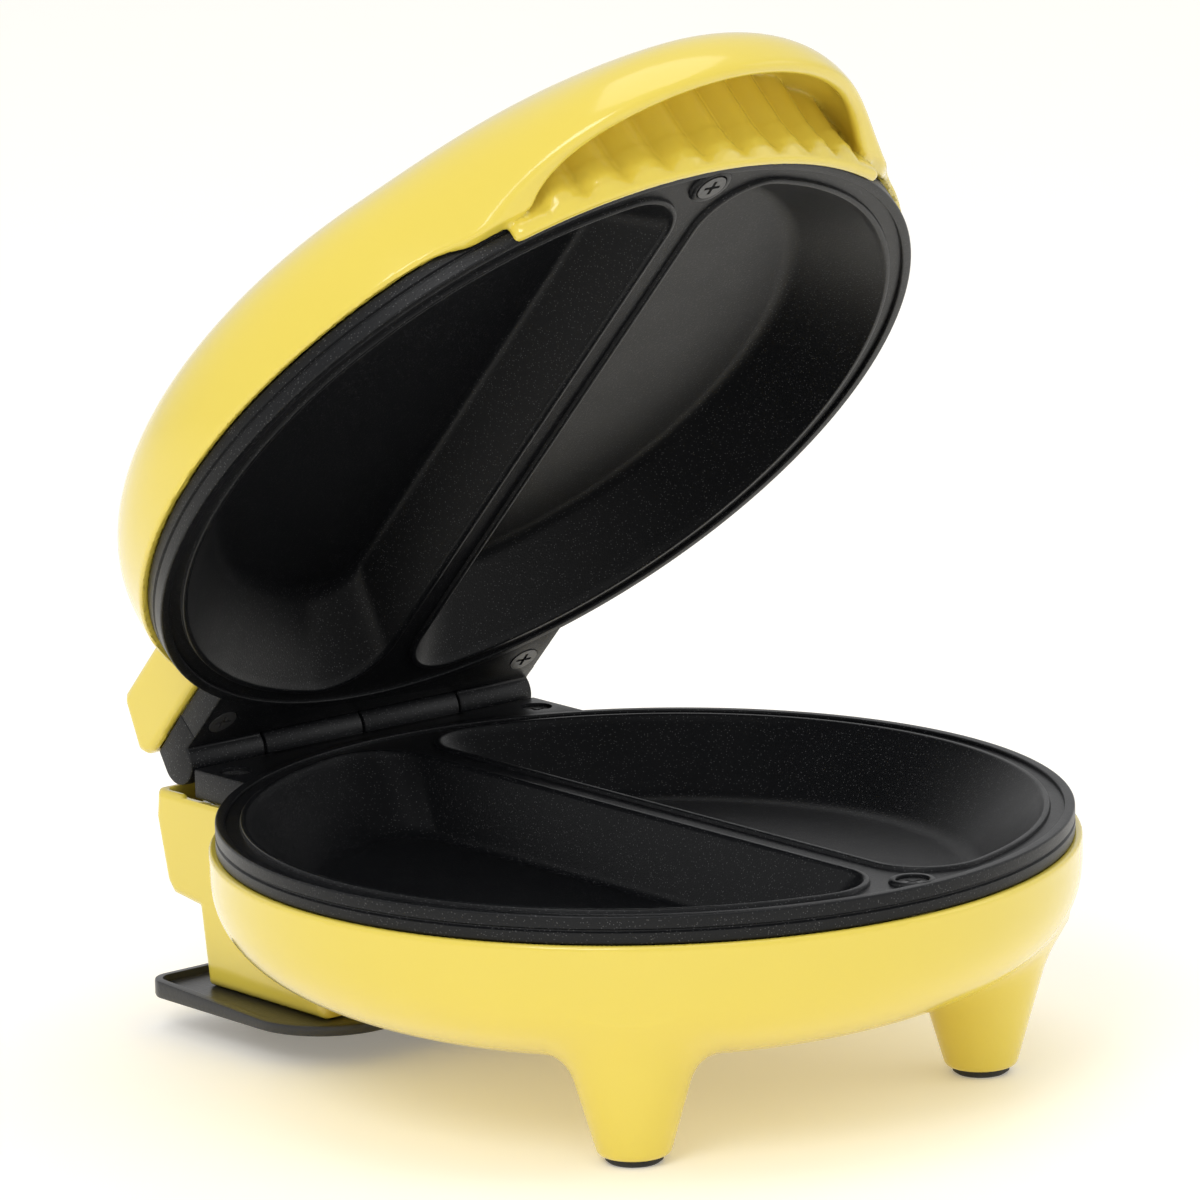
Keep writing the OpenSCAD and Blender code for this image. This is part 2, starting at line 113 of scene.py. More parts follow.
# Housings, whose fields meet over the soft distances
SHELL_R = 99.6
WALL = 2.4
ROUNDNESS = 2.7
BOWL_FLOOR_Z = 16.0
BOWL_MID_Z = 52.0
DOME_BASE_Z = LID_RIM_Z + BAND_H + SEAT_GAP
DOME_MID_Z = 71.0
CROWN_Z = LID_RIM_Z + 46.5
RIM_SOFT = 0.8
INNER_SOFT = 0.9
BLOCK_HALF = 52.8
BLOCK_ROUND = 2.2
BLOCK_START_Y = 78
BLOCK_LIFT = 0.6
LET_IN = 1.2
COLUMN_FRONT_Y = 54
COLUMN_REAR_Y = 98.0
RECESS_Y = (80, 106)
BOSS_R = 5
PASSAGE = (0, 62)
PASSAGE_R = 6
INLET_Z = 21.0
INLET_R = 4.2
LAMPS = (9.0, -58.0)
LAMP_R = 4.1

# Cord tray
TRAY_TOP = 10.4
TRAY_UNDER_Z = 7.6
TRAY_HALF = 62.0
TRAY_FRONT_Y = 46.0
TRAY_REAR_Y = 110.0
TRAY_CORNER = 6
TRAY_FRONT_CORNER = 20
LIP_START_Y = 90
LIP_RUN = 4
LIP_RISE = 1.6

# Handle
HOOD_Y = -66.0
HOOD_R = 57.2
HOOD_MID_Z = 70.0
HOOD_RISE = 27.0
HOOD_ROUNDNESS = 2.4
HOOD_WALL = 4.0
HOOD_SOFT = 2
HOOD_BLEND = 15
SCOOP_R = 99.3
SCOOP_REAR_Y = -40
SCOOP_EDGE_SOFT = 2.2
SKIRT_R = 101.0
SKIRT_LIMIT_R = SKIRT_R + 0.9
SKIRT_LOW_Z = LID_RIM_Z - 1.0
SKIRT_HALF = math.radians(32)
FLARE_TOP = 71.0
FLARE_H = 7
FLUTE_STEP = math.radians(6)
FLUTE_END = math.radians(28)
FLUTE_FADE = math.radians(2)
FLUTE_DEPTH = 2.4
FLUTE_SINK = 0.5
FLUTE_BOTTOM = 0.012
FLUTE_LOW_Z = 62
FLUTE_RUN = 4

# Blocks of space that the housings are drawn in, and the size of their quads
BOWL_SPACE = ((-103, -103, 0), (103, 103, 57))
COLUMN_SPACE = ((-55, 49, 8), (55, 119.5, 57))
DOME_SPACE = ((-104, -126, 58), (104, 103, 110.5))
LID_BLOCK_SPACE = ((-55, 75, 65), (55, 120.5, 88))
GRID = 0.75

# Pulling the points of a skin on to its field
NUDGE = 0.05
PULLS = 4
LONGEST_PULL = 0.4 * GRID


# ---------- moving shapes into the frame ----------

def to_frame(points, on_lid):
    """Plate millimetres to frame metres; lid points swing open about the hinge."""
    p = np.array(points, float)
    if on_lid:
        y = p[:, 1] - HINGE_Y
        z = p[:, 2] - HINGE_Z
        c = math.cos(OPEN_ANGLE)
        s = math.sin(OPEN_ANGLE)
        p[:, 1] = HINGE_Y + y * c + z * s
        p[:, 2] = HINGE_Z - y * s + z * c
    p[:, 1] += MIDDLE_Y
    return p * MM


def joined(parts):
    """Several (points, faces) meshes as one."""
    points = []
    faces = []
    start = 0
    for part_points, part_faces in parts:
        points.append(np.asarray(part_points, float))
        faces += [[i + start for i in face] for face in part_faces]
        start += len(part_points)
    return np.concatenate(points), faces


def piece(name, parts, material, body, nodes, crease=40):
    """Makes one mesh object from parts, which stands for the given CAD nodes."""
    points, faces = joined(parts)
    mesh = bpy.data.meshes.new(name)
    mesh.from_pydata(to_frame(points, body == "lid").tolist(), [], faces)
    bm = bmesh.new()
    bm.from_mesh(mesh)
    bmesh.ops.recalc_face_normals(bm, faces=bm.faces)
    bm.to_mesh(mesh)
    bm.free()
    mesh.shade_smooth()
    mesh.set_sharp_from_angle(angle=math.radians(crease))
    mesh.materials.append(material)
    made = bpy.data.objects.new(name, mesh)
    bpy.context.scene.collection.objects.link(made)
    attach(made, body)
    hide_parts(*nodes)


# ---------- solid fields: signed distances in millimetres, negative inside ----------

def meet(a, b, soft=0.0):
    """Both at once, with an edge rounded over a soft distance."""
    return -either(-a, -b, soft)


def either(a, b, soft=0.0):
    """One or the other, with a corner filled over a soft distance."""
    if soft <= 0:
        return np.minimum(a, b)
    h = np.clip(0.5 + 0.5 * (b - a) / soft, 0, 1)
    return b + (a - b) * h - soft * h * (1 - h)


def round_body(radius, z, big_r, half_h, power):
    """Superellipsoid of revolution, upright where z is below 0."""
    a = radius / big_r
    b = np.maximum(z, 0) / half_h
    s = np.power(np.power(a, power) + np.power(b, power) + 1e-9, 1 / power)
    slope = np.hypot(np.power(a / s, power - 1) / big_r, np.power(b / s, power - 1) / half_h)
    return (s - 1) / np.maximum(slope, 1e-4)


def side_prism(x, y, z, outline, half, rounding):
    """A Y and Z outline drawn out along X to both sides, with rounded edges."""
    corners = np.array(outline, float)
    best = np.full(np.broadcast(y, z).shape, 1e9)
    inside = np.zeros(best.shape, bool)
    for a, b in zip(corners, np.roll(corners, -1, axis=0)):
        edge = b - a
        t = np.clip(((y - a[0]) * edge[0] + (z - a[1]) * edge[1]) / (edge @ edge), 0, 1)
        best = np.minimum(best, (y - a[0] - t * edge[0]) ** 2 + (z - a[1] - t * edge[1]) ** 2)
        crosses = (a[1] > z) != (b[1] > z)
        at = (b[0] - a[0]) * (z - a[1]) / (b[1] - a[1] if b[1] != a[1] else 1e-9) + a[0]
        inside ^= crosses & (y < at)
    flat = np.where(inside, -np.sqrt(best), np.sqrt(best)) + rounding
    side = np.abs(x) - half + rounding
    return np.minimum(np.maximum(flat, side), 0) + np.hypot(
        np.maximum(flat, 0), np.maximum(side, 0)) - rounding


def upright_cylinder(x, y, z, centre, radius, low, high):
    """A round pillar or hole between two heights."""
    around = np.hypot(x - centre[0], y - centre[1]) - radius
    return np.maximum(around, np.abs(z - (low + high) / 2) - (high - low) / 2)


def box_field(x, y, z, half_x, y_low, y_high, z_low, z_high):
    """A box that reaches equally far to both sides."""
    return np.maximum(np.maximum(np.abs(x) - half_x, np.maximum(y_low - y, y - y_high)),
                      np.maximum(z_low - z, z - z_high))


def skin(field, low, high):
    """Even quads over the zero surface of a field, then pulled exactly on to it."""
    count = [int(math.ceil((high[i] - low[i]) / GRID)) + 1 for i in range(3)]
    axes = [low[i] + GRID * np.arange(count[i]) for i in range(3)]
    x, y, z = np.meshgrid(*axes, indexing="ij", sparse=True)
    values = field(x, y, z) * np.ones(count)
    inside = values < 0
    cells = [n - 1 for n in count]
    total = np.zeros(cells + [3])
    hits = np.zeros(cells)
    for axis in range(3):
        others = [i for i in range(3) if i != axis]
        a = np.take(values, range(count[axis] - 1), axis)
        b = np.take(values, range(1, count[axis]), axis)
        cut = (a < 0) != (b < 0)
        t = np.where(cut, a / np.where(cut, a - b, 1), 0)
        for i in (0, 1):
            for j in (0, 1):
                window = [slice(None)] * 3
                window[others[0]] = slice(i, i + cells[others[0]])
                window[others[1]] = slice(j, j + cells[others[1]])
                c = cut[tuple(window)]
                hits += c
                total[..., axis] += t[tuple(window)] * c
                total[..., others[0]] += i * c
                total[..., others[1]] += j * c
    used = hits > 0
    index = np.full(cells, -1)
    index[used] = np.arange(used.sum())
    places = np.argwhere(used)
    points = np.array(low) + GRID * (places + total[used] / hits[used][:, None])
    faces = []
    for axis in range(3):
        u, v = [(1, 2), (2, 0), (0, 1)][axis]
        a = np.take(inside, range(count[axis] - 1), axis)
        b = np.take(inside, range(1, count[axis]), axis)
        for change, order in ((a & ~b, (0, 1, 2, 3)), (~a & b, (3, 2, 1, 0))):
            at = np.argwhere(change)
            held = (at[:, [u, v]] > 0) & (at[:, [u, v]] < [cells[u], cells[v]])
            at = at[held.all(1)]
            corners = []
            for du, dv in ((-1, -1), (0, -1), (0, 0), (-1, 0)):
                step = at.copy()
                step[:, u] += du
                step[:, v] += dv
                corners.append(index[step[:, 0], step[:, 1], step[:, 2]])
            faces.append(np.stack([corners[k] for k in order], 1))
    faces = np.concatenate(faces)
    for _ in range(PULLS):
        here = field(*points.T)
        slope = np.stack([(field(*(points + NUDGE * axis).T) - field(*(points - NUDGE * axis).T))
                          / (2 * NUDGE) for axis in np.eye(3)], 1)
        size = np.maximum((slope ** 2).sum(1), 0.2)
        move = -(here / size)[:, None] * slope
        length = np.linalg.norm(move, axis=1)[:, None]
        points = points + move * np.minimum(1, LONGEST_PULL / np.maximum(length, 1e-9))
    return points, faces.tolist()


# ---------- housings ----------

def column_outline(inset):
    """Side outline of the rear block and column, drawn in for the room inside them."""
    top = SHELL_TOP + inset * 3
    front = COLUMN_FRONT_Y + inset
    return [[front, BOWL_FLOOR_Z + 14], [80, top], [HINGE_Y + 7.2 - inset, top],
            [HINGE_Y + 8 - inset, SHELL_TOP - 7], [HINGE_Y + 4.4 - inset, 33 + inset],
            [HINGE_Y + 2 - inset, 30.2 + inset], [COLUMN_REAR_Y + 2.6 - inset, 28.9 + inset],
            [COLUMN_REAR_Y - inset, TRAY_TOP + inset], [front, TRAY_TOP + inset]]


def bowl_field(radius, z, inset):
    """The base's bowl, drawn in by the inset."""
    return round_body(radius, BOWL_MID_Z - z, SHELL_R - inset,
                      BOWL_MID_Z - BOWL_FLOOR_Z - inset, ROUNDNESS)


def leg_field(x, y, z):
    """The two front legs, which taper down to their feet."""
    around = np.hypot(np.abs(x) - LEG[0], y - LEG[1])
    cone = (around - LEG_FOOT_R - LEG_TAPER * (z - FOOT_H)) * LEG_SLANT
    return meet(meet(cone, FOOT_H - z, LEG_ROUND), z - LEG_TOP_Z)


def tab_recess(x, y, z):
    """Room in the base for the lower plate's rear tab."""
    return box_field(x, y, z, HINGE_HALF + CLEAR, *RECESS_Y, RIM_Z - TAB_DEPTH - CLEAR, 90)


def bowl_part(x, y, z):
    """Bowl with its two front legs."""
    radius = np.hypot(x, y)
    outer = either(bowl_field(radius, z, 0), leg_field(x, y, z), LEG_BLEND)
    outer = meet(outer, z - SHELL_TOP, RIM_SOFT)
    space = bowl_field(radius, z, WALL)
    for side in (-1, 1):
        foot_hole = upright_cylinder(x, y, z, (side * LEG[0], LEG[1]), FOOT_HOLE_R, -1, 4)
        space = np.minimum(space, foot_hole)
    front_boss = upright_cylinder(x, y, z, (0, -FRONT_SCREW_Y), BOSS_R, 30, SHELL_TOP + 1)
    space = np.maximum(space, -front_boss)
    passage = upright_cylinder(x, y, z, PASSAGE, PASSAGE_R, 14, 30)
    for cut in (passage, tab_recess(x, y, z)):
        space = np.minimum(space, cut)
    return meet(outer, -space, INNER_SOFT)


def column_part(x, y, z):
    """Rear block and the column under it, let into the bowl's wall."""
    column = side_prism(x, y, z, column_outline(0), BLOCK_HALF, BLOCK_ROUND)
    column = meet(column, z - SHELL_TOP, RIM_SOFT)
    outer = np.maximum(column, -bowl_field(np.hypot(x, y), z, LET_IN))
    space = side_prism(x, y, z, column_outline(WALL), BLOCK_HALF - WALL, 1)
    for side in (-1, 1):
        boss = upright_cylinder(x, y, z, (side * TAB_SCREW[0], TAB_SCREW[1] + 5), BOSS_R,
                                29.5, SHELL_TOP - 1.1)
        space = np.maximum(space, -boss)
    inlet = np.maximum(np.hypot(x, z - INLET_Z) - INLET_R, COLUMN_REAR_Y - 8 - y)
    for cut in (inlet, tab_recess(x, y, z)):
        space = np.minimum(space, cut)
    return meet(outer, -space, INNER_SOFT)


def lid_block_outline(inset):
    """Side outline of the lid's block, drawn in for the room inside it, which is open below."""
    low = DOME_BASE_Z + BLOCK_LIFT
    bottom = low - inset * 3
    return [[BLOCK_START_Y, bottom], [HINGE_Y + 4.6 - inset, bottom],
            [HINGE_Y + 7.4 - inset, low + 1.2], [HINGE_Y + 9 - inset, low + 3.6],
            [HINGE_Y + 4.3 - inset, low + 14.7 - inset],
            [HINGE_Y + 2.6 - inset, low + 16 - inset],
            [BLOCK_START_Y, low + 16.4 - inset]]


def hood_field(x, y, z, inset):
    """The hood over the fingers, drawn in by the inset."""
    radius = np.hypot(x, y - HOOD_Y)
    return round_body(radius, z - HOOD_MID_Z, HOOD_R - inset, HOOD_RISE - inset, HOOD_ROUNDNESS)


def dome_field(radius, z, inset):
    """The lid's dome, drawn in by the inset."""
    return round_body(radius, z - DOME_MID_Z, SHELL_R - inset, CROWN_Z - DOME_MID_Z - inset,
                      ROUNDNESS)


def lid_tab_recess(x, y, z):
    """Room in the lid for the upper plate's rear tab."""
    return box_field(x, y, z, HINGE_HALF + CLEAR, *RECESS_Y, 50, LID_RIM_Z + TAB_DEPTH + CLEAR)


def dome_part(x, y, z):
    """Dome with the handle's hood, finger scoop and skirt."""
    radius = np.hypot(x, y)
    turn = np.arctan2(x, -y)
    dome = meet(dome_field(radius, z, 0), DOME_BASE_Z - z, RIM_SOFT)
    hood = meet(hood_field(x, y, z, 0), HOOD_MID_Z - z, HOOD_SOFT)
    outer = either(dome, hood, HOOD_BLEND)
    # finger scoop: inside the hood, outside a fluted wall that flares down to the skirt's edge
    wave = np.sqrt(np.cos(turn / FLUTE_STEP * math.pi) ** 2 + FLUTE_BOTTOM)
    swell = FLUTE_DEPTH * wave - FLUTE_SINK
    fade = np.clip((FLUTE_END - np.abs(turn)) / FLUTE_FADE, 0, 1)
    fade = fade * np.clip((z - FLUTE_LOW_Z) / FLUTE_RUN, 0, 1)
    flare = (SKIRT_R - SCOOP_R) * np.clip((FLARE_TOP - z) / FLARE_H, 0, 1) ** 2
    wall_r = np.minimum(SCOOP_R + flare + swell * fade, SKIRT_LIMIT_R)
    scoop = meet(hood_field(x, y, z, HOOD_WALL), wall_r - radius, RIM_SOFT)
    scoop = np.maximum(scoop, y - SCOOP_REAR_Y)
    outer = meet(outer, -scoop, SCOOP_EDGE_SOFT)
    ends = (np.abs(turn) - SKIRT_HALF) * radius
    skirt = meet(meet(radius - wall_r, ends, 2.5), z - FLARE_TOP, 1)
    skirt = meet(skirt, SKIRT_LOW_Z - z, 1.4)
    outer = either(outer, skirt, 1.2)
    space = dome_field(radius, z, WALL)
    front_boss = upright_cylinder(x, y, z, (0, -FRONT_SCREW_Y), BOSS_R, LID_RIM_Z + 5.4, 90)
    space = np.maximum(space, -front_boss)
    for side in (-1, 1):
        lamp_hole = upright_cylinder(x, y, z, (side * LAMPS[0], LAMPS[1]), LAMP_R, 90, 130)
        space = np.minimum(space, lamp_hole)
    band_room = upright_cylinder(x, y, z, (0, 0), PLATE_R + CLEAR, 50, DOME_BASE_Z)
    for cut in (band_room, lid_tab_recess(x, y, z)):
        space = np.minimum(space, cut)
    return meet(outer, -space, INNER_SOFT)


def lid_block_part(x, y, z):
    """The lid's rear block, let into the dome's wall."""
    block = side_prism(x, y, z, lid_block_outline(0), BLOCK_HALF, BLOCK_ROUND)
    outer = np.maximum(block, -dome_field(np.hypot(x, y), z, LET_IN))
    space = side_prism(x, y, z, lid_block_outline(WALL), BLOCK_HALF - WALL, 1)
    for side in (-1, 1):
        boss = upright_cylinder(x, y, z, (side * TAB_SCREW[0], TAB_SCREW[1] + 4), BOSS_R,
                                LID_RIM_Z + TAB_DEPTH + 0.6, 83)
        space = np.maximum(space, -boss)
    space = np.minimum(space, lid_tab_recess(x, y, z))
    return meet(outer, -space, INNER_SOFT)


# ---------- lofted and turned shapes ----------

def ribbon(rings):
    """Quads between closed rings of equal length."""
    n = len(rings[0])
    points = np.concatenate(rings)
    faces = [[r * n + i, r * n + (i + 1) % n, (r + 1) * n + (i + 1) % n, (r + 1) * n + i]
             for r in range(len(rings) - 1) for i in range(n)]
    return points, faces


def circle_ring(radius, z, turns=192, centre=(0, 0)):
    """Points round a level circle."""
    angle = np.arange(turns) * 2 * math.pi / turns
    return np.column_stack([centre[0] + radius * np.cos(angle),
                            centre[1] + radius * np.sin(angle), np.full(turns, z)])


def turned(profile, turns, centre=(0, 0)):
    """A radius and height profile turned about an upright axis."""
    return ribbon([circle_ring(r, z, turns, centre) for r, z in profile])


def prism(outline, low, high, bevel):
    """A flat outline drawn up from low to high, with its edges bevelled."""
    bm = bmesh.new()
    lower = [bm.verts.new((px, py, low)) for px, py in outline]
    upper = [bm.verts.new((px, py, high)) for px, py in outline]
    bm.faces.new(lower)
    bm.faces.new(upper)
    for i in range(len(outline)):
        j = (i + 1) % len(outline)
        bm.faces.new((lower[i], lower[j], upper[j], upper[i]))
    bmesh.ops.recalc_face_normals(bm, faces=bm.faces)
    sharp = [e for e in bm.edges if e.calc_face_angle(0) > math.radians(24)]
    bmesh.ops.bevel(bm, geom=sharp, offset=bevel, segments=3, profile=0.5, affect="EDGES",
                    clamp_overlap=True)
    points = [v.co[:] for v in bm.verts]
    faces = [[v.index for v in f.verts] for f in bm.faces]
    bm.free()
    return points, faces


def along_x(shape, shift=(0, 0, 0)):
    """The same shape with its height laid along X, then shifted."""
    points = np.asarray(shape[0], float)[:, [2, 0, 1]] + np.array(shift)
    return points, shape[1]


def carved(shape, cutters):
    """The shape with each cutter taken away."""
    made = []
    for points, faces in [shape, *cutters]:
        mesh = bpy.data.meshes.new("carving")
        mesh.from_pydata([tuple(map(float, p)) for p in points], [], [list(f) for f in faces])
        bm = bmesh.new()
        bm.from_mesh(mesh)
        bmesh.ops.recalc_face_normals(bm, faces=bm.faces)
        bm.to_mesh(mesh)
        bm.free()
        made.append(bpy.data.objects.new("carving", mesh))
        bpy.context.scene.collection.objects.link(made[-1])
    for cutter in made[1:]:
        cut = made[0].modifiers.new("cut", "BOOLEAN")
        cut.operation = "DIFFERENCE"
        cut.solver = "EXACT"
        cut.object = cutter
    result = made[0].evaluated_get(bpy.context.evaluated_depsgraph_get()).to_mesh()
    points = [tuple(v.co) for v in result.vertices]
    faces = [list(p.vertices) for p in result.polygons]
    for o in made:
        bpy.data.objects.remove(o)
    return points, faces


# ---------- cooking plates: rim face at z = 0, wells below ----------

def well_ring(offset, z, side):
    """A well's outline, grown by an offset outside its lip or drawn in below it."""
    inward = max(-offset, 0) / (WELL_R - FLOOR_R)
    big_r = WELL_R + offset
    bar = BAR_HALF - max(offset, 0) + inward * (BAR_FLOOR_HALF - BAR_HALF)
    corner = WELL_CORNER + max(offset, 0) - 3 * inward
    mid_x = bar + corner
    mid_y = math.sqrt((big_r - corner) ** 2 - mid_x ** 2)
    reach = math.atan2(mid_y, mid_x)
    line = [(bar, y) for y in np.linspace(-mid_y, mid_y, 33)[:-1]]
    upper = [(mid_x + corner * math.cos(a), mid_y + corner * math.sin(a))
             for a in np.linspace(math.pi, reach, 25)[:-1]]
    arc = [(big_r * math.cos(a), big_r * math.sin(a))
           for a in np.linspace(reach, -reach, 121)[:-1]]
    lower = [(mid_x + corner * math.cos(a), -mid_y + corner * math.sin(a))
             for a in np.linspace(-reach, -math.pi, 25)[:-1]]
    flat = np.array(line + upper + arc + lower)
    return np.column_stack([flat[:, 0] * side, flat[:, 1], np.full(len(flat), z)])


def rounded(corners, radius, steps=5):
    """A polyline with its inner corners rounded."""
    corners = [np.array(c, float) for c in corners]
    out = [corners[0]]
    for before, here, after in zip(corners, corners[1:], corners[2:]):
        back_length = np.linalg.norm(before - here)
        on_length = np.linalg.norm(after - here)
        reach = min(radius, 0.45 * back_length, 0.45 * on_length)
        start = here + (before - here) / back_length * reach
        end = here + (after - here) / on_length * reach
        for t in np.linspace(0, 1, steps):
            out.append((1 - t) ** 2 * start + 2 * t * (1 - t) * here + t * t * end)
    out.append(corners[-1])
    return out


def flat_fill(loops):
    """Flat faces between an outer loop and the loops inside it."""
    bm = bmesh.new()
    edges = []
    for loop in loops:
        verts = [bm.verts.new(p) for p in loop]
        edges += [bm.edges.new((a, b)) for a, b in zip(verts, verts[1:] + verts[:1])]
    bmesh.ops.triangle_fill(bm, use_beauty=True, use_dissolve=False, edges=edges)
    bm.verts.index_update()
    points = [v.co[:] for v in bm.verts]
    faces = [[v.index for v in f.verts] for f in bm.faces]
    bm.free()
    return points, faces


def dish_parts():
    """One cooking plate: beaded wells, grooved rim band, front screw pad and rear tab."""
    parts = []
    wall_top = (-0.9, -1.9)
    bead = rounded([(1.95, CHANNEL_Z), (1.7, -0.05), (1.3, 0.05), (0.55, 0.05), (-0.2, -1.0),
                    wall_top], 0.45)
    floor_line = rounded([wall_top, (-15.2, -WELL_DEPTH), (-22, -WELL_DEPTH)], 4.2, 9)
    top_profile = [(LIP_OUT, CHANNEL_Z), (2.2, CHANNEL_Z), *bead[:-1], *floor_line]
    under_floor_z = -WELL_DEPTH - 2
    under = rounded([(LIP_OUT, UNDER_Z), (1.2, UNDER_Z), (-13.8, under_floor_z),
                     (-20, under_floor_z)], 2, 5)
    for side in (-1, 1):
        for profile in (top_profile, under):
            points, faces = ribbon([well_ring(o, z, side) for o, z in profile])
            n = len(well_ring(0, 0, side))
            faces.append([(len(profile) - 1) * n + i for i in range(n)])
            parts.append((points, faces))
    for z in (CHANNEL_Z, UNDER_Z):
        parts.append(flat_fill([circle_ring(RING_INNER_R, z), well_ring(LIP_OUT, z, -1),
                                well_ring(LIP_OUT, z, 1)]))
    groove_r = PLATE_R - GROOVE_DEPTH
    edge = rounded([(RING_INNER_R, CHANNEL_Z), (RING_INNER_R, 0), (PLATE_R, 0),
                    (PLATE_R, GROOVE_Z[0])], 0.55)
    groove = rounded([(PLATE_R, GROOVE_Z[0]), (groove_r, GROOVE_Z[0] - 0.35),
                      (groove_r, GROOVE_Z[1] + 0.35), (PLATE_R, GROOVE_Z[1])], 0.12)
    lower = rounded([(PLATE_R, GROOVE_Z[1]), (PLATE_R, -BAND_H), (RING_INNER_R, -BAND_H),
                     (RING_INNER_R, UNDER_Z)], 0.45)
    band = edge + groove[1:] + lower[1:]
    parts.append(ribbon([circle_ring(r, z) for r, z in band]))
    # pad round the front screw
    pad = [(SCREW_HEAD_R, -SCREW_SINK), (SCREW_HEAD_R, -0.2), (SCREW_HEAD_R + 0.2, 0),
           (PAD_R - 0.5, 0), (PAD_R - 0.2, -0.25), (PAD_R, CHANNEL_Z), (PAD_R, -5),
           (SCREW_HEAD_R, -5), (SCREW_HEAD_R, -SCREW_SINK)]
    parts.append(turned(pad, 48, (0, -FRONT_SCREW_Y)))
    # rear tab with its two countersunk screw holes
    inner_r = PLATE_R - 1.2
    half = HINGE_HALF - 0.15
    sweep = math.asin(half / inner_r)
    outline = [(inner_r * math.sin(a), inner_r * math.cos(a))
               for a in np.linspace(-sweep, sweep, 25)]
    outline += [(half, TAB_END_Y), (-half, TAB_END_Y)]
    tab = prism(outline, -TAB_DEPTH, 0, 0.5)
    sink = [(0, -SCREW_SINK), (SCREW_HEAD_R, -SCREW_SINK), (SCREW_HEAD_R, 2), (0, 2)]
    sinks = [turned(sink, 48, (side * TAB_SCREW[0], TAB_SCREW[1])) for side in (-1, 1)]
    parts.append(carved(tab, sinks))
    return parts


def knuckle(x_from, x_to):
    """A hinge barrel along X with softened ends."""
    length = x_to - x_from
    profile = [(0, 0), (KNUCKLE_R - 0.5, 0), (KNUCKLE_R - 0.12, 0.15), (KNUCKLE_R, 0.5),
               (KNUCKLE_R, length - 0.5), (KNUCKLE_R - 0.12, length - 0.15),
               (KNUCKLE_R - 0.5, length), (0, length)]
    return along_x(turned(profile, 64), (x_from, HINGE_Y, HINGE_Z))


def lower_plate_parts():
    """The lower plate with its two inner knuckles and the stud under its middle."""
    parts = [(np.asarray(p) + [0, 0, RIM_Z], f) for p, f in dish_parts()]
    for x_from in (KNUCKLE_GAP - KNUCKLE_SPLIT, KNUCKLE_GAP):
        x_to = x_from + KNUCKLE_SPLIT - 2 * KNUCKLE_GAP
        parts.append(knuckle(x_from, x_to))
        web = [(TAB_END_Y - 2, RIM_Z - 5), (TAB_END_Y + 4, RIM_Z - 5), (TAB_END_Y + 4, RIM_Z),
               (TAB_END_Y - 2, RIM_Z)]
        parts.append(along_x(prism(web, x_from, x_to, 0.3)))
    stud = [(0, STUD_Z[0]), (STUD_R, STUD_Z[0]), (STUD_R, STUD_Z[1]), (0, STUD_Z[1])]
    parts.append(turned(stud, 48))
    return parts


def upper_plate_parts():
    """The lid's plate with the two arms that end in the outer knuckles."""
    parts = [(np.asarray(p) * [-1, 1, -1] + [0, 0, LID_RIM_Z], f) for p, f in dish_parts()]
    arm = [(TAB_END_Y - 4, LID_RIM_Z), (TAB_END_Y - 4, LID_RIM_Z + TAB_DEPTH),
           (HINGE_Y + 3.8, LID_RIM_Z + TAB_DEPTH - 0.5)]
    arm += [(HINGE_Y + KNUCKLE_R * math.cos(a), HINGE_Z + KNUCKLE_R * math.sin(a))
            for a in np.radians(np.linspace(15, -180, 27))]
    inner = KNUCKLE_SPLIT + KNUCKLE_GAP
    for x_from, x_to in ((-HINGE_HALF, -inner), (inner, HINGE_HALF)):
        parts.append(along_x(prism(arm, x_from, x_to, 0.5)))
    return parts


def tray_outline(grow):
    """The tray's outline, grown outwards, with wider corners at the front."""
    points = []
    for side_x, side_y, corner, start in ((1, TRAY_REAR_Y, TRAY_CORNER, 0),
                                          (-1, TRAY_REAR_Y, TRAY_CORNER, 90),
                                          (-1, TRAY_FRONT_Y, TRAY_FRONT_CORNER, 180),
                                          (1, TRAY_FRONT_Y, TRAY_FRONT_CORNER, 270)):
        x = side_x * (TRAY_HALF - corner)
        y = side_y - corner if start < 180 else side_y + corner
        r = corner + grow
        points += [(x + r * math.cos(a), y + r * math.sin(a))
                   for a in np.radians(np.linspace(start, start + 90, 13))]
    return np.array(points)


def tray_ring(grow, z, raised):
    """A ring round the tray, which may rise up a short slope to the rear part's lip."""
    flat = tray_outline(grow)
    lift = LIP_RISE * np.clip((flat[:, 1] - LIP_START_Y) / LIP_RUN, 0, 1) * raised
    return np.column_stack([flat, z + lift])


def tray_parts():
    """Cord plate with curved front corners and a raised lip round its rear."""
    top = TRAY_TOP - 0.1
    low = TRAY_UNDER_Z
    under = ((-3, low), (-0.8, low), (-0.2, low + 0.25), (0, low + 0.8))
    lip = ((0, top - 0.4), (-0.15, top - 0.1), (-0.6, top), (-1.9, top))
    inner = ((-2.2, top), (-4, top))
    rings = [tray_ring(grow, z, profile is lip) for profile in (under, lip, inner)
             for grow, z in profile]
    points, faces = ribbon(rings)
    n = len(rings[0])
    faces.append(list(range(n)))
    faces.append([(len(rings) - 1) * n + i for i in range(n)])
    return [(points, faces)]


# ---------- materials ----------

DRIFT_SCALE = 28
WEAR_SCALE = 90
SPECKLE_SCALE = 1500
COAT_ROUGHNESS = 0.06
BUMP_DISTANCE = 0.0004
SMOOTH_ANGLE = math.radians(35)


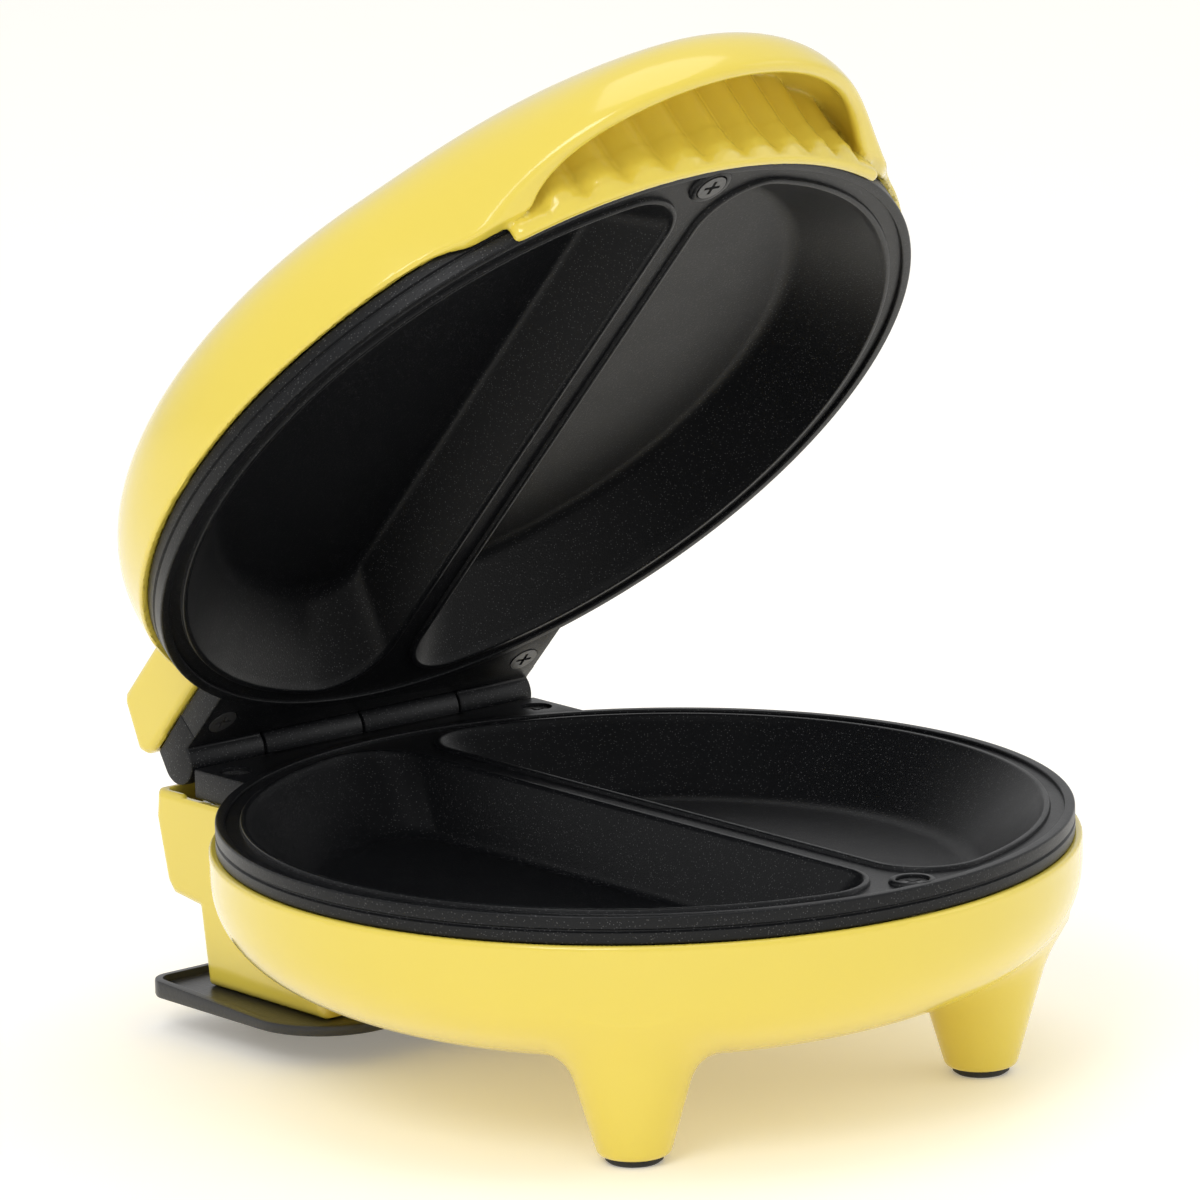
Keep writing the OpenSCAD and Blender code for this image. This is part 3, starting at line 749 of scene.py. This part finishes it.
def finish_material(name, colour, second, roughness, grain_scale, grain_bump, metallic=0.0,
                    coat=0.0, spread=0.06, speckle=0.0, subsurface=0.0, transmission=0.0,
                    specular=0.5):
    """Procedural finish: colour drift, roughness drift and a fine surface grain."""
    material = bpy.data.materials.new(name)
    material.use_nodes = True
    tree = material.node_tree
    shader = tree.nodes["Principled BSDF"]
    shader.inputs["Metallic"].default_value = metallic
    shader.inputs["Specular IOR Level"].default_value = specular
    shader.inputs["Coat Weight"].default_value = coat
    shader.inputs["Coat Roughness"].default_value = COAT_ROUGHNESS
    shader.inputs["Subsurface Weight"].default_value = subsurface
    shader.inputs["Subsurface Radius"].default_value = (0.004, 0.003, 0.001)
    shader.inputs["Transmission Weight"].default_value = transmission
    place = tree.nodes.new("ShaderNodeTexCoord")

    def noise(scale, detail):
        node = tree.nodes.new("ShaderNodeTexNoise")
        node.inputs["Scale"].default_value = scale
        node.inputs["Detail"].default_value = detail
        tree.links.new(place.outputs["Object"], node.inputs["Vector"])
        return node

    drift = noise(DRIFT_SCALE, 3)
    blend = tree.nodes.new("ShaderNodeMix")
    blend.data_type = "RGBA"
    blend.inputs[6].default_value = (*colour, 1)
    blend.inputs[7].default_value = (*second, 1)
    tree.links.new(drift.outputs["Fac"], blend.inputs[0])
    colour_out = blend.outputs[2]
    if speckle:
        dots = tree.nodes.new("ShaderNodeTexVoronoi")
        dots.inputs["Scale"].default_value = SPECKLE_SCALE
        tree.links.new(place.outputs["Object"], dots.inputs["Vector"])
        ramp = tree.nodes.new("ShaderNodeValToRGB")
        ramp.color_ramp.elements[0].position = 0.06
        ramp.color_ramp.elements[0].color = (1, 1, 1, 1)
        ramp.color_ramp.elements[1].position = 0.24
        ramp.color_ramp.elements[1].color = (0, 0, 0, 1)
        tree.links.new(dots.outputs["Distance"], ramp.inputs["Fac"])
        sparkle = tree.nodes.new("ShaderNodeMix")
        sparkle.data_type = "RGBA"
        sparkle.inputs[7].default_value = (speckle, speckle, speckle * 1.02, 1)
        tree.links.new(ramp.outputs["Color"], sparkle.inputs[0])
        tree.links.new(colour_out, sparkle.inputs[6])
        colour_out = sparkle.outputs[2]
    tree.links.new(colour_out, shader.inputs["Base Color"])
    wear = noise(WEAR_SCALE, 4)
    gloss = tree.nodes.new("ShaderNodeMapRange")
    gloss.inputs["To Min"].default_value = roughness - spread
    gloss.inputs["To Max"].default_value = roughness + spread
    tree.links.new(wear.outputs["Fac"], gloss.inputs["Value"])
    tree.links.new(gloss.outputs["Result"], shader.inputs["Roughness"])
    grain = noise(grain_scale, 2)
    bump = tree.nodes.new("ShaderNodeBump")
    bump.inputs["Strength"].default_value = grain_bump
    bump.inputs["Distance"].default_value = BUMP_DISTANCE
    tree.links.new(grain.outputs["Fac"], bump.inputs["Height"])
    tree.links.new(bump.outputs["Normal"], shader.inputs["Normal"])
    return material


yellow = finish_material("yellow_plastic", (0.8, 0.637, 0.09), (0.775, 0.614, 0.077), 0.2,
                         900, 0.02, coat=0.5, spread=0.03, subsurface=0.03)
cast = finish_material("cast_nonstick", (0.005, 0.0053, 0.0062), (0.0078, 0.0083, 0.0095), 0.34,
                       2600, 0.16, spread=0.05, speckle=0.1, specular=0.22)
element_steel = finish_material("element_steel", (0.2, 0.19, 0.17), (0.27, 0.25, 0.22), 0.45,
                                600, 0.3, metallic=1.0)
reflector_steel = finish_material("reflector_steel", (0.52, 0.52, 0.53), (0.6, 0.6, 0.6), 0.28,
                                  400, 0.15, metallic=1.0)
ceramic = finish_material("ceramic", (0.42, 0.36, 0.26), (0.5, 0.43, 0.31), 0.6, 800, 0.3)
fuse_body = finish_material("fuse_body", (0.55, 0.44, 0.22), (0.62, 0.5, 0.27), 0.5, 800, 0.2)
wire_silicone = finish_material("wire_silicone", (0.5, 0.05, 0.03), (0.58, 0.07, 0.04), 0.5,
                                900, 0.2)
black_rubber = finish_material("black_rubber", (0.012, 0.012, 0.012), (0.02, 0.02, 0.02), 0.62,
                               1200, 0.5)
pin_steel = finish_material("pin_steel", (0.42, 0.42, 0.43), (0.5, 0.5, 0.5), 0.3, 700, 0.1,
                            metallic=1.0)
screw_steel = finish_material("screw_steel", (0.07, 0.07, 0.073), (0.11, 0.11, 0.11), 0.32, 900,
                              0.2, metallic=0.6)
black_plastic = finish_material("black_plastic", (0.016, 0.016, 0.017), (0.024, 0.024, 0.025), 0.3,
                                1200, 0.15, spread=0.05)
red_lens = finish_material("red_lens", (0.55, 0.02, 0.015), (0.62, 0.03, 0.02), 0.15, 500, 0.05,
                           coat=0.5, transmission=0.3)
green_lens = finish_material("green_lens", (0.03, 0.4, 0.08), (0.04, 0.46, 0.1), 0.15, 500, 0.05,
                             coat=0.5, transmission=0.3)
board = finish_material("board", (0.18, 0.09, 0.025), (0.22, 0.12, 0.04), 0.6, 600, 0.3)
lamp_glass = finish_material("lamp_glass", (0.8, 0.75, 0.62), (0.85, 0.8, 0.68), 0.12, 500, 0.05,
                             transmission=0.6)

NODE_FINISH = {
    "lower_element": element_steel, "upper_element": element_steel,
    "lower_reflector": reflector_steel, "upper_reflector": reflector_steel,
    "thermostat": ceramic, "terminal_block": ceramic, "thermal_fuse": fuse_body,
    "supply_wires": wire_silicone, "cord_bush": black_rubber, "left_front_foot": black_rubber,
    "right_front_foot": black_rubber, "rear_feet": black_rubber, "left_hinge_pin": pin_steel,
    "right_hinge_pin": pin_steel, "lower_rear_screws": screw_steel,
    "upper_rear_screws": screw_steel, "lower_front_screw": screw_steel,
    "upper_front_screw": screw_steel, "cord_plate_screws": screw_steel, "power_lens": red_lens,
    "ready_lens": green_lens, "lamp_board": board, "power_lamp": lamp_glass,
    "ready_lamp": lamp_glass,
}
for node_name, node_material in NODE_FINISH.items():
    node_object = frame["nodes"][node_name]
    node_object.data.materials.clear()
    node_object.data.materials.append(node_material)
    node_object.data.shade_smooth()
    node_object.data.set_sharp_from_angle(angle=SMOOTH_ANGLE)


# ---------- pieces ----------

piece("base_housing", [skin(bowl_part, *BOWL_SPACE), skin(column_part, *COLUMN_SPACE)],
      yellow, "base", ["base_shell"], 55)
piece("lid_housing", [skin(dome_part, *DOME_SPACE), skin(lid_block_part, *LID_BLOCK_SPACE)],
      yellow, "lid", ["lid_shell"], 55)
piece("lower_cooking_plate", lower_plate_parts(), cast, "base", ["lower_plate"])
piece("upper_cooking_plate", upper_plate_parts(), cast, "lid", ["upper_plate"])
piece("cord_tray", tray_parts(), black_plastic, "base", ["cord_plate"])


# ---------- camera, floor and light ----------

CAMERA_TURN = math.radians(-39.53)
CAMERA_RISE = math.radians(12.68)
CAMERA_ROLL = math.radians(-1.34)
CAMERA_FAR = 2000.0
CAMERA_RIGHT = -10.2
CAMERA_UP = 47.53
LENS = 263.2
SENSOR = 36
AIM = np.array([0, 0, 61.1])

back = np.array([math.sin(CAMERA_TURN) * math.cos(CAMERA_RISE),
                 -math.cos(CAMERA_TURN) * math.cos(CAMERA_RISE), math.sin(CAMERA_RISE)])
level = np.array([math.cos(CAMERA_TURN), math.sin(CAMERA_TURN), 0])
upward = np.cross(back, level)
right = level * math.cos(CAMERA_ROLL) + upward * math.sin(CAMERA_ROLL)
up = upward * math.cos(CAMERA_ROLL) - level * math.sin(CAMERA_ROLL)
eye = AIM + CAMERA_RIGHT * right + CAMERA_UP * up + CAMERA_FAR * back
eye[1] += MIDDLE_Y

camera = bpy.data.objects.new("camera", bpy.data.cameras.new("camera"))
bpy.context.scene.collection.objects.link(camera)
camera.data.sensor_width = SENSOR
camera.data.lens = LENS
camera.data.clip_start = 0.05
camera.data.clip_end = 50
camera.matrix_world = Matrix([[right[i], up[i], back[i], eye[i] * MM] for i in range(3)]
                             + [[0, 0, 0, 1]])
bpy.context.scene.camera = camera

STUDIO_R = 9
FLOOR_GLOW = 0.22

floor_mesh = bpy.data.meshes.new("floor")
floor_bm = bmesh.new()
bmesh.ops.create_circle(floor_bm, cap_ends=True, segments=96, radius=STUDIO_R)
floor_bm.to_mesh(floor_mesh)
floor_bm.free()
floor = bpy.data.objects.new("floor", floor_mesh)
bpy.context.scene.collection.objects.link(floor)
floor_paper = finish_material("floor_paper", (0.93, 0.92, 0.89), (0.945, 0.935, 0.905), 0.6,
                              60, 0.02)
paper_shader = floor_paper.node_tree.nodes["Principled BSDF"]
paper_shader.inputs["Emission Color"].default_value = (1, 0.93, 0.8, 1)
paper_shader.inputs["Emission Strength"].default_value = FLOOR_GLOW
floor_mesh.materials.append(floor_paper)


LIGHT_AIM = Vector((0, 0, 0.1))
WORLD_STRENGTH = 0.74


def soft_light(name, place, size, power):
    """A large square light that faces the middle of the object."""
    light = bpy.data.lights.new(name, "AREA")
    light.shape = "SQUARE"
    light.size = size
    light.energy = power
    made = bpy.data.objects.new(name, light)
    bpy.context.scene.collection.objects.link(made)
    made.location = place
    made.rotation_mode = "QUATERNION"
    made.rotation_quaternion = (LIGHT_AIM - Vector(place)).to_track_quat("-Z", "Y")


soft_light("key", (-1.35, -0.75, 1.5), 0.8, 10.5)
soft_light("top", (0.1, 0.1, 1.9), 1.3, 7.5)
soft_light("fill", (1.5, -1.1, 0.8), 1.0, 2.4)

world = bpy.data.worlds.new("studio")
world.use_nodes = True
world.node_tree.nodes["Background"].inputs["Color"].default_value = (1, 1, 1, 1)
world.node_tree.nodes["Background"].inputs["Strength"].default_value = WORLD_STRENGTH
bpy.context.scene.world = world
bpy.context.scene.view_settings.view_transform = "Standard"
